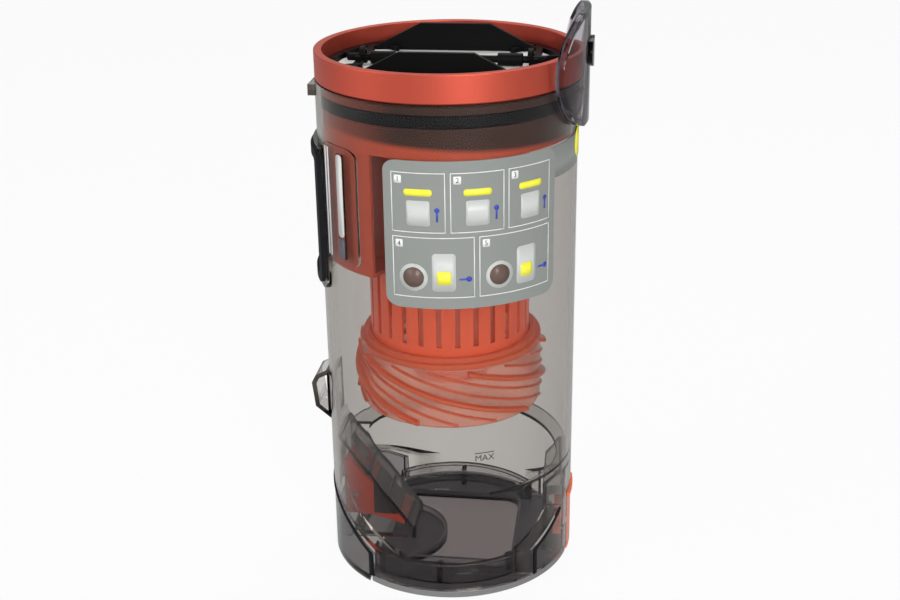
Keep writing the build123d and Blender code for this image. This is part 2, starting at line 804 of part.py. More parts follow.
def button_spring():
    """Bent leaf between the latch pocket and the button's upper half."""
    root = latch_inner_x + pocket_wall
    tip = bin_radius - button_thickness - 2 * lid_gap
    foot = button_pivot_z + button_spring_foot
    bend = button_pivot_z + button_spring_bend
    strip = [(root, foot), (root, bend), (tip, bend + 2 * spring_strip), (tip, bend + spring_strip),
             (root + spring_strip, bend - spring_strip), (root + spring_strip, foot)]
    return side_prism(strip, spring_half_width)


def lever_spring():
    """Bent leaf on the wall that presses the lever's upper half outwards."""
    root = bin_radius + fit / 2
    tip = lever_inner - lid_gap
    foot = lever_bottom + lever_spring_foot
    leaf = spring_strip - pin_play
    high = rim_height + lever_spring_reach
    strip = [(root, foot), (root, rim_height), (tip - leaf, high), (tip, high - pin_play),
             (root + leaf, rim_height - pin_play), (root + leaf, foot)]
    return side_prism(strip, ear_inner - spring_strip)


pieces = {
    "container": container(),
    "hinge_cover": hinge_cover(),
    "inlet_seal": inlet_seal(),
    "instruction_label": instruction_label(),
    "collar_ring": collar_ring(),
    "cyclone_housing": cyclone_housing(),
    "shroud_grille": shroud_grille(),
    "helix_skirt": helix_skirt(),
    "inner_cone": inner_cone(),
    "cyclone_seal": cyclone_seal(),
    "rim_gasket": rim_gasket(),
    "filter_frame": filter_frame(),
    "cross_bar": cross_bar(),
    "filter_fleece": filter_fleece(),
    "bottom_lid": bottom_lid(),
    "lid_rim_band": lid_rim_band(),
    "lid_seal": lid_seal(),
    "hinge_pin": cross_rod(hinge_x, hinge_z, hinge_pin_radius, pocket_half_width),
    "release_button": release_button(),
    "button_pin": cross_rod(button_pivot_x, button_pivot_z, small_pin_radius, latch_half_width),
    "button_spring": button_spring(),
    "release_lever": release_lever(),
    "lever_pin": cross_rod(lever_pivot_x, lever_pivot_z, lever_pin_radius, lever_pin_half_length),
    "lever_spring": lever_spring(),
    "bin_catch": bin_catch(),
    "catch_pin": cross_rod(catch_pivot_x, catch_pivot_z, small_pin_radius, pocket_half_width),
    "catch_spring": catch_spring(),
}

os.makedirs("parts", exist_ok=True)
for name, shape in pieces.items():
    export_step(shape, f"parts/{name}.step")
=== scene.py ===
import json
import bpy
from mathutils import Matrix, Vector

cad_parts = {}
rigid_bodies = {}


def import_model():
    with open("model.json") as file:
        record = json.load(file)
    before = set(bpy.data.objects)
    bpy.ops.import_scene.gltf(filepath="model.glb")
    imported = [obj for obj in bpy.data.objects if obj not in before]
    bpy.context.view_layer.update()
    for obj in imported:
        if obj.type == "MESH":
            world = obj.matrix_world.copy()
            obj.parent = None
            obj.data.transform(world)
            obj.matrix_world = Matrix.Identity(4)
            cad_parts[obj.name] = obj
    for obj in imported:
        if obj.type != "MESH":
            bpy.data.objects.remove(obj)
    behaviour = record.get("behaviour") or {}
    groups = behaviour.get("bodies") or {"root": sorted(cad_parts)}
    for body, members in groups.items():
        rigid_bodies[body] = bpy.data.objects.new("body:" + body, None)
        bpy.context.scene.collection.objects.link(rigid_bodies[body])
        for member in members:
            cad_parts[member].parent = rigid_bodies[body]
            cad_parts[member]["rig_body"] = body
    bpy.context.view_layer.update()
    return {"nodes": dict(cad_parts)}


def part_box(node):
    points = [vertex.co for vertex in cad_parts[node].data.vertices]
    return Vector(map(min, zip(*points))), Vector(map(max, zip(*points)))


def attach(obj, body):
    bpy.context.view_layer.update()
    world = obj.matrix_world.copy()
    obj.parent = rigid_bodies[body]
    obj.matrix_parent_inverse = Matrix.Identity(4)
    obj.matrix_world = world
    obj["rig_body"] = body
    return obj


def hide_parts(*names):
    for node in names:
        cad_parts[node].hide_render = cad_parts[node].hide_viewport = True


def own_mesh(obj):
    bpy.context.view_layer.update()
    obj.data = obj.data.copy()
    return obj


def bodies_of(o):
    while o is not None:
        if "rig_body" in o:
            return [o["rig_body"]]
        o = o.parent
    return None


bl_info = {
    "name": "Cyclone dust bin",
    "version": (1, 0, 0),
    "blender": (4, 5, 0),
    "location": "View3D > Sidebar > Dust bin",
    "description": "Dresses the clear cyclone dust bin of a stick vacuum for a studio picture",
    "category": "Object",
}

from math import atan2, cos, pi, radians, sin, sqrt

import bmesh
import bpy
from bpy.props import FloatProperty, FloatVectorProperty, IntProperty, PointerProperty
from mathutils import Matrix, Vector

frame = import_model()
MM = 0.001
WELD = 0.001 * MM
SMOOTH_BELOW = radians(35)
ROUND_ABOVE = radians(40)
WALL = 58 * MM
INSIDE = 55.45 * MM
LABEL_FACE = 58.3 * MM
LABEL_TURN = radians(19.5)
POCKET_HALF = 12.5 * MM
SLOPE_PLATE = 1.8 * MM
LID_PANEL = 2.1 * MM
LID_PLATE = 2.9 * MM
WHITE = (1, 1, 1, 1)
BACKDROP_SHARE = 0.94
MIRROR_SHARE = 0.15
MOULDED = (900, 0.05, 0.1 * MM)
SATIN = (1500, 0.1, 0.05 * MM)
PRINTED = (3000, 0.06, 0.02 * MM)
SLOPE_HEAD = Vector((-53.0, 0, 58.0)) * MM
SLOPE_FOOT = Vector((-19.5, 0, 12.0)) * MM
SLOPE_DOWN = (SLOPE_FOOT - SLOPE_HEAD).normalized()
SLOPE_NORMAL = Vector((-SLOPE_DOWN.z, 0, SLOPE_DOWN.x))


def length(name, description, default):
    """Length property in metres."""
    return FloatProperty(name=name, description=description, default=default, unit="LENGTH", precision=5)


def colour(name, description, default):
    """Linear colour property."""
    return FloatVectorProperty(name=name, description=description, default=default, size=3, min=0, max=1,
                               subtype="COLOR")


class DustBinSizes(bpy.types.PropertyGroup):
    """Sizes of the finished pieces."""
    ring_round: length("Ring rounding", "Rounding of the top ring's edges", 0.6 * MM)
    edge_round: length("Edge rounding", "Rounding of the moulded edges", 0.35 * MM)
    fin_thick: length("Fin thickness", "Thickness of a large fin on the skirt", 2.2 * MM)
    ridge_thick: length("Ridge thickness", "Thickness of a fine ridge on the skirt", 1.0 * MM)
    fin_count: IntProperty(name="Fins", description="Large fins round the skirt", default=5, min=1, max=12)
    print_lift: length("Print lift", "Height of one printed layer", 0.05 * MM)
    seam_width: length("Seam width", "Width of the dark seam round the hinge cover", 1.5 * MM)
    text_height: length("Mark height", "Height of the letters of the fill mark", 3.0 * MM)


class DustBinColours(bpy.types.PropertyGroup):
    """Colours of the finishes."""
    ring: colour("Ring", "Satin red paint of the top ring", (0.58, 0.09, 0.055))
    cyclone: colour("Cyclone", "Red plastic of the grille", (0.72, 0.105, 0.045))
    housing: colour("Housing", "Duller red of the housing", (0.5, 0.085, 0.045))
    # Painted shade: the brown above the slanting line stands in for the shade in the housing's recessed
    # upper cup.
    housing_painted_shade: colour("Housing top", "Brown of the housing above the slanting line", (0.05, 0.024, 0.019))
    # Red plastic tinted paler as painted light, standing in for the light that comes through the translucent
    # grille.
    cone: colour("Cone", "Pale red of the inner cone", (0.9, 0.42, 0.32))
    skirt: colour("Skirt", "Translucent red of the skirt", (0.95, 0.5, 0.4))
    fin: colour("Fin", "Brighter red of the skirt's fins", (0.86, 0.2, 0.1))
    button: colour("Button", "Orange of the lid button", (0.85, 0.18, 0.08))
    catch: colour("Catch", "Red of the catch", (0.75, 0.085, 0.045))
    # Painted shade: the dark tail stands in for the shade that falls on that end of the red catch.
    catch_painted_shade: colour("Catch tail", "Dark tail of the catch", (0.035, 0.022, 0.02))
    rubber: colour("Rubber", "Seals", (0.006, 0.007, 0.009))
    black: colour("Black", "Filter cassette", (0.003, 0.003, 0.003))
    fleece: colour("Fleece", "Filter pad", (0.78, 0.77, 0.75))
    band: colour("Band", "Lid's rim band", (0.2, 0.197, 0.197))
    label: colour("Label", "Ground of the label", (0.23, 0.245, 0.23))
    label_line: colour("Label lines", "Thin frames on the label", (0.8, 0.82, 0.8))
    label_yellow: colour("Label yellow", "Yellow print", (0.86, 0.82, 0.05))
    label_blue: colour("Label blue", "Blue print", (0.03, 0.055, 0.42))
    label_pale: colour("Label pale", "Pale print", (0.55, 0.57, 0.55))
    label_brown: colour("Label brown", "Brown print", (0.12, 0.075, 0.06))
    steel: colour("Steel", "Pins and springs", (0.6, 0.6, 0.6))
    # Painted highlight: the pale strips and their blue grey foot stand in for a lamp's reflection beside the
    # port.
    strip: colour("Strip", "Pale strips beside the port", (0.62, 0.62, 0.61))
    highlight_foot: colour("Strip foot", "Blue grey foot of the pale strip", (0.085, 0.087, 0.105))


def sizes():
    """Size settings of the scene."""
    return bpy.context.scene.dust_bin_sizes


def colours():
    """Colour settings of the scene."""
    return bpy.context.scene.dust_bin_colours


def add_node(owner, kind, operation=None, values=None):
    """New node of a material or world, with an operation and input values by number or name."""
    node = owner.node_tree.nodes.new("ShaderNode" + kind)
    if operation:
        node.operation = operation
    for key, value in (values or {}).items():
        node.inputs[key].default_value = value
    return node


def combine(owner, operation, first, second):
    """Output of a sum, product or the like of two outputs."""
    node = add_node(owner, "Math", operation)
    owner.node_tree.links.new(first, node.inputs[0])
    owner.node_tree.links.new(second, node.inputs[1])
    return node.outputs["Value"]


def mix_shaders(owner, share, first, second):
    """Output of a mix of two shaders."""
    mix = add_node(owner, "MixShader")
    owner.node_tree.links.new(share, mix.inputs["Fac"])
    owner.node_tree.links.new(first, mix.inputs[1])
    owner.node_tree.links.new(second, mix.inputs[2])
    return mix.outputs["Shader"]


def place_axes(owner):
    """Object coordinates as one output and as outputs for each axis."""
    place = add_node(owner, "TexCoord")
    axes = add_node(owner, "SeparateXYZ")
    owner.node_tree.links.new(place.outputs["Object"], axes.inputs["Vector"])
    return place.outputs["Object"], axes.outputs


def blend_base(material, mask, tint, masked_tint):
    """Base colour that turns from one tint to another with a mask."""
    blend = add_node(material, "Mix")
    blend.data_type = "RGBA"
    blend.inputs["A"].default_value = (*tint, 1)
    blend.inputs["B"].default_value = (*masked_tint, 1)
    shader = material.node_tree.nodes["Principled BSDF"]
    material.node_tree.links.new(mask, blend.inputs["Factor"])
    material.node_tree.links.new(blend.outputs["Result"], shader.inputs["Base Color"])


def plain(name, tint, roughness, fine=None, **sockets):
    """Finish on one Principled shader, with a fine grain if its scale, strength and height are given."""
    material = bpy.data.materials.get(name)
    if material:
        return material
    material = bpy.data.materials.new(name)
    material.use_nodes = True
    shader = material.node_tree.nodes["Principled BSDF"]
    shader.inputs["Base Color"].default_value = (*tint, 1)
    shader.inputs["Roughness"].default_value = roughness
    for socket, value in sockets.items():
        shader.inputs[socket.replace("_", " ")].default_value = value
    if fine:
        grain(material, *fine)
    return material


def grain(material, scale, strength, distance):
    """Fine bump on Object coordinates."""
    links = material.node_tree.links
    place = add_node(material, "TexCoord")
    noise = add_node(material, "TexNoise", values={"Scale": scale, "Detail": 3})
    bump = add_node(material, "Bump", values={"Strength": strength, "Distance": distance})
    links.new(place.outputs["Object"], noise.inputs["Vector"])
    links.new(noise.outputs["Fac"], bump.inputs["Height"])
    links.new(bump.outputs["Normal"], material.node_tree.nodes["Principled BSDF"].inputs["Normal"])


def let_lamps_through(material, tint):
    """Lets the lamps shine through a clear finish, so that what is behind it is lit."""
    nodes = material.node_tree.nodes
    path = add_node(material, "LightPath")
    clear = add_node(material, "BsdfTransparent", values={"Color": (*tint, 1)})
    finish = mix_shaders(material, path.outputs["Is Shadow Ray"], nodes["Principled BSDF"].outputs["BSDF"],
                         clear.outputs["BSDF"])
    material.node_tree.links.new(finish, nodes["Material Output"].inputs["Surface"])


def smoke(name, absorbed, density):
    """Clear tinted plastic that darkens with depth and lets the lamps through."""
    material = bpy.data.materials.get(name)
    if material:
        return material
    material = plain(name, (1, 1, 1), 0.0, Transmission_Weight=1.0, IOR=1.42,
                     Specular_Tint=(0.25, 0.25, 0.25, 1))
    let_lamps_through(material, (1, 1, 1))
    volume = add_node(material, "VolumeAbsorption", values={"Color": (*absorbed, 1), "Density": density})
    output = material.node_tree.nodes["Material Output"]
    material.node_tree.links.new(volume.outputs["Volume"], output.inputs["Volume"])
    return material


def clear_red(name, tint, share, roughness):
    """Translucent red plastic that lets part of the lamps through."""
    material = bpy.data.materials.get(name)
    if material:
        return material
    material = plain(name, tint, roughness, MOULDED, Transmission_Weight=share, IOR=1.3)
    let_lamps_through(material, [share * part for part in tint])
    return material


def wall_smoke():
    """Pale grey smoke of the container, with painted shade that darkens the plate sloping over the hinge."""
    material = bpy.data.materials.get("smoke wall")
    if material:
        return material
    material = smoke("smoke wall", (0.3, 0.25, 0.2), 225)
    links = material.node_tree.links
    place, axes = place_axes(material)
    # Mask of the painted shade: the slab of the sloping plate, across the width of the pocket.
    plate_middle = SLOPE_NORMAL.dot(SLOPE_HEAD) - SLOPE_PLATE / 2
    depth = add_node(material, "VectorMath", "DOT_PRODUCT", {1: SLOPE_NORMAL})
    slab = add_node(material, "Math", "COMPARE", {1: plate_middle, 2: SLOPE_PLATE / 2 + 0.15 * MM})
    across = add_node(material, "Math", "COMPARE", {1: 0.0, 2: POCKET_HALF + 0.1 * MM})
    links.new(place, depth.inputs[0])
    links.new(depth.outputs["Value"], slab.inputs[0])
    links.new(axes["Y"], across.inputs[0])
    plate = combine(material, "MULTIPLY", slab.outputs["Value"], across.outputs["Value"])
    # Darker base tint in the plate, as painted shade.
    blend_base(material, plate, (1, 1, 1), (0.56, 0.54, 0.55))
    return material


def floor_smoke():
    """Smoke of the lid, tinted with painted shade: grey in the sunken panel, dark on the floor round it,
    standing in for the shadow under the lid, clear in the collar.
    """
    material = bpy.data.materials.get("smoke floor")
    if material:
        return material
    material = smoke("smoke floor", (0.3, 0.29, 0.32), 430)
    links = material.node_tree.links
    axes = place_axes(material)[1]
    span = 10 * MM
    level = add_node(material, "MapRange", values={"From Max": span})
    # Painted shade: the ramp tints the panel grey and the floor round it dark, in place of the shadow under
    # the lid; the collar stays clear.
    tint = add_node(material, "ValToRGB")
    ramp = tint.color_ramp
    ramp.interpolation = "CONSTANT"
    ramp.elements[0].color = (0.42, 0.375, 0.37, 1)
    ramp.elements[1].position = LID_PLATE / span
    ramp.elements[1].color = WHITE
    ramp.elements.new(LID_PANEL / span).color = (0.055, 0.052, 0.062, 1)
    links.new(axes["Z"], level.inputs["Value"])
    links.new(level.outputs["Result"], tint.inputs["Fac"])
    links.new(tint.outputs["Color"], material.node_tree.nodes["Principled BSDF"].inputs["Base Color"])
    return material


def lip_smoke():
    """Clear grey lip on the lid's collar."""
    return smoke("smoke lip", (0.3, 0.29, 0.31), 500)


def cover_smoke():
    """Dark smoke of the thin hinge cover."""
    return smoke("smoke cover", (0.3, 0.29, 0.31), 1200)


def lever_smoke():
    """Bluish smoke of the lever."""
    return smoke("smoke lever", (0.3, 0.26, 0.32), 620)


def grille_red():
    """Gloss red plastic, thin enough to light the space behind the slots."""
    material = bpy.data.materials.get("grille red")
    if material:
        return material
    material = plain("grille red", colours().cyclone, 0.32, MOULDED)
    let_lamps_through(material, [0.75 * part for part in colours().skirt])
    return material


def housing_red():
    """Red plastic with painted shade: it turns brown above a slanting line on the housing, less so towards
    the port.
    """
    material = bpy.data.materials.get("housing red")
    if material:
        return material
    material = plain("housing red", colours().housing, 0.36, MOULDED, Specular_IOR_Level=0.25)
    links = material.node_tree.links
    place, axes = place_axes(material)
    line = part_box("cyclone_seal")[0].z - 8.8 * MM
    blur = 1.2 * MM
    slant = add_node(material, "VectorMath", "DOT_PRODUCT", {1: (0.06, 0.0, 1.0)})
    level = add_node(material, "MapRange", values={"From Min": line - blur, "From Max": line + blur})
    side = add_node(material, "MapRange", values={"From Min": -54 * MM, "From Max": -15 * MM, "To Min": 0.3})
    links.new(place, slant.inputs[0])
    links.new(slant.outputs["Value"], level.inputs["Value"])
    links.new(axes["X"], side.inputs["Value"])
    # Mask of the painted shade: brown above the slanting line, weaker towards the port.
    brown = combine(material, "MULTIPLY", level.outputs["Result"], side.outputs["Result"])
    blend_base(material, brown, colours().housing, colours().housing_painted_shade)
    return material


def catch_red():
    """Red plastic of the catch, with painted shade darkening its tail."""
    material = bpy.data.materials.get("catch red")
    if material:
        return material
    material = plain("catch red", colours().catch, 0.38, SATIN)
    links = material.node_tree.links
    axes = place_axes(material)[1]
    tail = add_node(material, "Math", "GREATER_THAN", {1: -38 * MM})
    above = add_node(material, "Math", "GREATER_THAN", {1: 15 * MM})
    links.new(axes["X"], tail.inputs[0])
    links.new(axes["Z"], above.inputs[0])
    # Mask of the painted shade over the catch's tail: above 15 mm and right of -38 mm.
    dark = combine(material, "MULTIPLY", tail.outputs["Value"], above.outputs["Value"])
    blend_base(material, dark, colours().catch, colours().catch_painted_shade)
    return material


def rubber():
    """Matt black rubber."""
    return plain("seal rubber", colours().rubber, 0.6, (2200, 0.25, 0.05 * MM), Specular_IOR_Level=0.12)


def frame_black():
    """Satin black plastic of the cassette."""
    return plain("cassette black", colours().black, 0.45, (1800, 0.2, 0.05 * MM), Specular_IOR_Level=0.08)


def ink(name, tint):
    """Printed colour with the fine grain of the label's paper."""
    return plain(name, tint, 0.4, PRINTED)


def body_of(node):
    """Name of the body a node belongs to."""
    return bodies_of(frame["nodes"][node])[0]


def coat(node, material):
    """Gives a node of the frame its finish."""
    mesh = frame["nodes"][node].data
    mesh.materials.clear()
    mesh.materials.append(material)


def piece(name, mesh_data, material, body, stands_for=()):
    """Object from a bmesh, smooth between sharp edges, riding on a body."""
    mesh = bpy.data.meshes.new(name)
    mesh_data.to_mesh(mesh)
    mesh_data.free()
    mesh.materials.append(material)
    mesh.polygons.foreach_set("use_smooth", [True] * len(mesh.polygons))
    mesh.set_sharp_from_angle(angle=SMOOTH_BELOW)
    item = bpy.data.objects.new(name, mesh)
    bpy.context.scene.collection.objects.link(item)
    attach(item, body)
    if stands_for:
        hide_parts(*stands_for)
    return item


def round_edges(item, width, segments=2):
    """Bevel on the sharp edges of a piece."""
    bevel = item.modifiers.new("rounding", "BEVEL")
    bevel.width = width
    bevel.segments = segments
    bevel.limit_method = "ANGLE"
    bevel.angle_limit = ROUND_ABOVE
    return item


def thicken(item, thickness, offset):
    """Gives a flat sheet its thickness."""
    layer = item.modifiers.new("layer", "SOLIDIFY")
    layer.thickness = thickness
    layer.offset = offset


def soften(node, material, width, segments=2, reach=None):
    """Copy of a node with merged faces and rounded edges, in the node's place and just inside a radius."""
    copy = bmesh.new()
    copy.from_mesh(frame["nodes"][node].data)
    bmesh.ops.remove_doubles(copy, verts=copy.verts, dist=WELD)
    bmesh.ops.dissolve_limit(copy, angle_limit=radians(0.2), verts=copy.verts, edges=copy.edges)
    if reach:
        for vert in copy.verts:
            vert.co.xy *= min(1, reach / max(vert.co.xy.length, MM))
    item = piece(node + "_finish", copy, material, body_of(node), (node,))
    return round_edges(item, width, segments)


def lathe(profile, steps=160, angle=2 * pi, lift=0.0):
    """Bmesh spun round the bin's axis from a closed profile of radius and height in millimetres."""
    mesh = bmesh.new()
    corners = [mesh.verts.new((radius * MM, 0, height * MM)) for radius, height in profile]
    outline = [mesh.edges.new((corners[i - 1], corners[i])) for i in range(len(corners))]
    whole = abs(angle - 2 * pi) < 1e-6 and lift == 0
    if not whole:
        mesh.faces.new(corners)
    bmesh.ops.spin(mesh, geom=corners + outline + list(mesh.faces), cent=(0, 0, 0), axis=(0, 0, 1),
                   dvec=(0, 0, lift / steps), angle=angle, steps=steps, use_merge=whole)
    bmesh.ops.remove_doubles(mesh, verts=mesh.verts, dist=WELD)
    bmesh.ops.recalc_face_normals(mesh, faces=mesh.faces)
    return mesh


def section(inner, outer, low, high):
    """Rectangular profile between two radii and two heights in millimetres."""
    return [(inner, low), (outer, low), (outer, high), (inner, high)]


def bend_on_wall(mesh, radius):
    """Rolls a flat sheet, drawn as arc length and height, round the wall."""
    for vert in mesh.verts:
        turn = vert.co.x / WALL
        depth = radius + vert.co.y
        vert.co = Vector((depth * sin(turn), -depth * cos(turn), vert.co.z))


def rule_upright(mesh, start, end):
    """Cuts a flat sheet into upright strips so that it can bend."""
    step = 1.5 * MM
    for index in range(1, int((end - start) / step) + 1):
        geometry = list(mesh.verts) + list(mesh.edges) + list(mesh.faces)
        bmesh.ops.bisect_plane(mesh, geom=geometry, dist=0.1 * WELD, plane_co=(start + index * step, 0, 0),
                               plane_no=(1, 0, 0))


class DUSTBIN_OT_clear_walls(bpy.types.Operator):
    """Smoke plastic of the container, the hinge cover and the lid, with the lid's rim band and black lines
    of painted shade above it
    """
    bl_idname = "dustbin.clear_walls"
    bl_label = "Clear walls"

    def execute(self, context):
        coat("container", wall_smoke())
        coat("hinge_cover", cover_smoke())
        coat("bottom_lid", floor_smoke())
        grey = plain("rim band grey", colours().band, 0.38, SATIN)
        soften("lid_rim_band", grey, sizes().edge_round)
        # Painted shade: two black lines fill the gap between the wall's foot and the rim band, in place of
        # its shade.
        band_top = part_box("lid_rim_band")[1].z / MM
        profile = section(56.0, 57.6, band_top + 0.03, band_top + 0.25)
        sweep = radians(110)
        for start, name in ((-124, "foot_gap_shade_front"), (14, "foot_gap_shade_back")):
            line = lathe(profile, 80, sweep)
            line.transform(Matrix.Rotation(radians(start), 4, "Z"))
            piece(name, line, rubber(), body_of("lid_rim_band"))
        return {"FINISHED"}


class DUSTBIN_OT_top_ring(bpy.types.Operator):
    """Satin red ring with rounded edges on the top of the wall"""
    bl_idname = "dustbin.top_ring"
    bl_label = "Top ring"

    def execute(self, context):
        paint = plain("ring red", colours().ring, 0.4, (9000, 0.05, 0.02 * MM), Metallic=0.8)
        low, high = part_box("collar_ring")
        top = high.z / MM
        foot = low.z / MM
        outer = high.x / MM
        bore = 54.4
        seat = 57.0
        step = foot + 0.6
        profile = [(bore, foot), (seat, foot), (seat, step), (outer, step), (outer, top), (bore, top)]
        ring = lathe(profile, 192)
        item = piece("top_ring", ring, paint, body_of("collar_ring"), ("collar_ring",))
        round_edges(item, sizes().ring_round, 3)
        return {"FINISHED"}


class DUSTBIN_OT_cyclone(bpy.types.Operator):
    """Red cyclone housing, slotted grille and inner cone"""
    bl_idname = "dustbin.cyclone"
    bl_label = "Cyclone"

    def execute(self, context):
        soften("cyclone_housing", housing_red(), sizes().edge_round, reach=INSIDE)
        soften("shroud_grille", grille_red(), sizes().edge_round, 1)
        # The cone's red is painted paler, as painted light from the glow through the grille.
        coat("inner_cone", plain("cone red", colours().cone, 0.5, MOULDED))
        return {"FINISHED"}


class DUSTBIN_OT_skirt(bpy.types.Operator):
    """Translucent skirt with rounded fins and fine ridges winding down it"""
    bl_idname = "dustbin.skirt"
    bl_label = "Finned skirt"

    def execute(self, context):
        low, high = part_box("helix_skirt")
        foot = low.z / MM
        wound = 28.5
        top = foot + wound
        shoulder = top + 2.5
        spigot = top + 4.5
        outer = 42.5
        root = 41.9
        fin_reach = high.x / MM
        ridge_reach = 43.5
        margin = 0.6
        shell_red = clear_red("skirt clear red", colours().skirt, 0.8, 0.2)
        fin_red = clear_red("fin red", colours().fin, 0.45, 0.25)
        body = body_of("helix_skirt")
        shell = lathe(section(41.1, outer, foot, top - 0.05))
        item = piece("skirt_shell", shell, shell_red, body, ("helix_skirt",))
        round_edges(item, sizes().edge_round)
        collar = lathe([(35.4, top), (outer, top), (outer, shoulder), (40.0, shoulder), (40.0, spigot),
                        (37.2, spigot), (37.2, shoulder), (35.4, shoulder)])
        item = piece("skirt_collar", collar, fin_red, body)
        round_edges(item, sizes().edge_round)
        count = 3 * sizes().fin_count
        for index in range(count):
            large = index % 3 == 0
            half = (sizes().fin_thick if large else sizes().ridge_thick) / 2 / MM
            reach = fin_reach if large else ridge_reach
            middle = top - half - margin
            profile = [(root, middle - half), (reach - 0.7 * half, middle - half),
                       (reach - 0.2 * half, middle - 0.65 * half), (reach, middle),
                       (reach - 0.2 * half, middle + 0.65 * half), (reach - 0.7 * half, middle + half),
                       (root, middle + half)]
            drop = (wound - 2 * half - 2 * margin) * MM
            fin = lathe(profile, 56, radians(114), -drop)
            turn = Matrix.Rotation(2 * pi * index / count, 3, "Z")
            bmesh.ops.rotate(fin, verts=fin.verts, cent=(0, 0, 0), matrix=turn)
            item = piece(f"skirt_fin_{index + 1}", fin, fin_red, body)
            round_edges(item, 0.25 * MM if large else 0.12 * MM)
        return {"FINISHED"}


class DUSTBIN_OT_seals(bpy.types.Operator):
    """Black rubber seals and the clear lip on the lid's collar"""
    bl_idname = "dustbin.seals"
    bl_label = "Seals"

    def execute(self, context):
        for node in ("cyclone_seal", "rim_gasket"):
            soften(node, rubber(), sizes().edge_round, reach=INSIDE)
        soften("lid_seal", lip_smoke(), sizes().edge_round)
        soften("inlet_seal", rubber(), sizes().edge_round)
        return {"FINISHED"}


class DUSTBIN_OT_filter(bpy.types.Operator):
    """Filter cassette with its bar, clips, struts and fleece"""
    bl_idname = "dustbin.filter"
    bl_label = "Filter cassette"

    def execute(self, context):
        soften("filter_frame", frame_black(), sizes().edge_round)
        soften("cross_bar", frame_black(), sizes().edge_round)
        coat("filter_fleece", plain("fleece", colours().fleece, 0.9, (2500, 0.6, 0.2 * MM)))
        body = body_of("filter_frame")
        bar_z = (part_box("cross_bar")[0].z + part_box("cross_bar")[1].z) / 2
        for side, name in ((-1, "bar_clip_left"), (1, "bar_clip_right")):
            clip = lathe(section(3.4, 5.0, -1.2, 1.2), 40, radians(250))
            stand = Matrix.Translation((side * 37 * MM, 0, bar_z)) @ Matrix.Rotation(radians(90), 4, "Y")
            clip.transform(stand)
            item = piece(name, clip, frame_black(), body)
            round_edges(item, sizes().edge_round)
        struts = bmesh.new()
        count = 12
        reach = 51 * MM
        inner_share = 0.72
        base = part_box("filter_frame")[0].z + 1.2 * MM
        for index in range(count):
            angle = 2 * pi * (index + 0.5) / count
            outer = Vector((reach * cos(angle), reach * sin(angle), 0))
            inner = outer * inner_share
            place = Matrix.Translation((outer + inner) / 2 + Vector((0, 0, base)))
            spread = Matrix.Diagonal(((outer - inner).length, 2.0 * MM, 2.2 * MM, 1))
            bmesh.ops.create_cube(struts, size=1, matrix=place @ Matrix.Rotation(angle, 4, "Z") @ spread)
        item = piece("cassette_struts", struts, frame_black(), body)
        round_edges(item, sizes().edge_round)
        return {"FINISHED"}


def bar(art, left, low, right, high, corner=0.0):
    """Flat rounded bar on the label, in millimetres of arc and height."""
    before = set(art.verts)
    place = Matrix.Translation(((left + right) / 2 * MM, 0, (low + high) / 2 * MM))
    spread = Matrix.Diagonal(((right - left) * MM, (high - low) * MM, 1, 1))
    bmesh.ops.create_grid(art, x_segments=1, y_segments=1, size=0.5,
                          matrix=place @ Matrix.Rotation(radians(90), 4, "X") @ spread)
    if corner:
        bmesh.ops.bevel(art, geom=[v for v in art.verts if v not in before], offset=corner * MM,
                        affect="VERTICES", segments=4, profile=0.5, material=-1)


def dot(art, across, up, radius):
    """Flat disc on the label."""
    place = Matrix.Translation((across * MM, 0, up * MM)) @ Matrix.Rotation(radians(90), 4, "X")
    bmesh.ops.create_circle(art, cap_ends=True, segments=24, radius=radius * MM, matrix=place)


def outline(art, left, low, right, high, line):
    """Thin rectangular frame on the label."""
    bar(art, left, low, right, low + line)
    bar(art, left, high - line, right, high)
    bar(art, left, low + line, left + line, high - line)
    bar(art, right - line, low + line, right, high - line)


def number_sheet(text, across, up, height):
    """Flat mesh of a few characters, in millimetres of arc and height."""
    curve = bpy.data.curves.new("characters", "FONT")
    curve.body = text
    curve.size = height * MM * 1.4
    curve.align_x = "CENTER"
    carrier = bpy.data.objects.new("characters", curve)
    bpy.context.scene.collection.objects.link(carrier)
    bpy.context.view_layer.update()
    flat = carrier.evaluated_get(bpy.context.evaluated_depsgraph_get()).to_mesh()
    sheet = bmesh.new()
    sheet.from_mesh(flat)
    bpy.data.objects.remove(carrier)
    bpy.data.curves.remove(curve)
    sheet.transform(Matrix.Translation((across * MM, 0, up * MM)) @ Matrix.Rotation(radians(90), 4, "X"))
    return sheet


def wrap_print(name, art, material, radius, turn, body, thick=None):
    """Rolls a flat sheet round the wall and gives it the thickness of one printed layer, or more."""
    reach = [vert.co.x for vert in art.verts]
    rule_upright(art, min(reach), max(reach))
    bend_on_wall(art, radius)
    bmesh.ops.rotate(art, verts=art.verts, cent=(0, 0, 0), matrix=Matrix.Rotation(turn, 3, "Z"))
    item = piece(name, art, material, body)
    thicken(item, thick or sizes().print_lift, 1)


